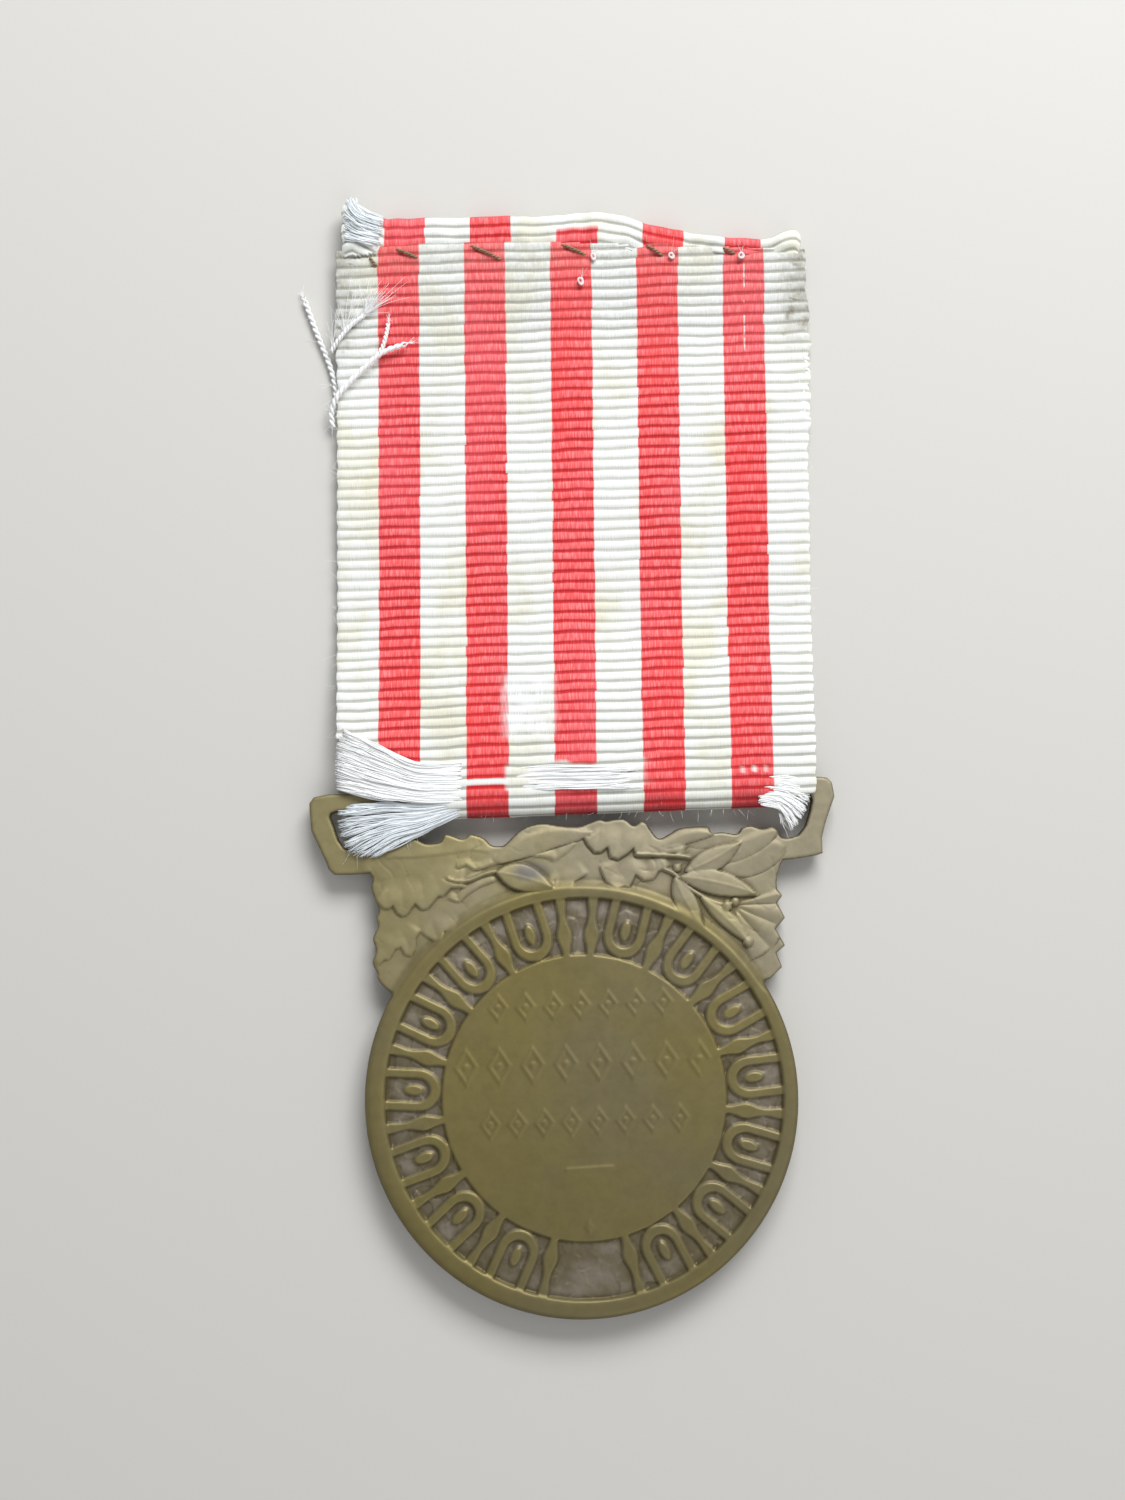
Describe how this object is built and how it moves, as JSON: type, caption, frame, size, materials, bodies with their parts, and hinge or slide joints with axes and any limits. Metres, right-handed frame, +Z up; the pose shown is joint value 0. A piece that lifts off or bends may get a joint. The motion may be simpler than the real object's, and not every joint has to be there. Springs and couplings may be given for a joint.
{
  "type": "military service medal",
  "caption": "Struck bronze disc medal with a leafy wreath and a slotted loop, hanging from a folded grosgrain ribbon with a sewn hem.",
  "frame": {"origin": "middle of the underside of the whole object as it lies flat", "axes": "+X across the ribbon, +Y from the disc towards the ribbon's sewn top, +Z up out of the medal's reverse"},
  "size_m": [0.0406, 0.086, 0.0025],
  "materials": {
    "bronze": "struck bronze with a dull olive-brown patina, greyer in the hollows",
    "grosgrain": "ribbed cream-white silk grosgrain with five red stripes, stained and frayed",
    "brown_thread": "twisted brown sewing thread",
    "white_thread": "twisted white cotton thread"
  },
  "bodies": {
    "medal": {"medal_body": "bronze"},
    "ribbon": {"ribbon_strip": "grosgrain", "hem_thread": "brown_thread", "thread_tail_outer": "white_thread", "thread_tail_long": "white_thread", "thread_tail_short": "white_thread", "thread_loop_1": "white_thread", "thread_loop_2": "white_thread", "thread_loop_3": "white_thread", "thread_loop_4": "white_thread"}
  },
  "joints": [
    {"name": "ribbon_swing", "type": "hinge", "parent": "medal", "child": "ribbon", "pos_m": [0, -0.00315, 0.00125], "axis": [1, 0, 0], "range_deg": [-115, 115]}
  ]
}
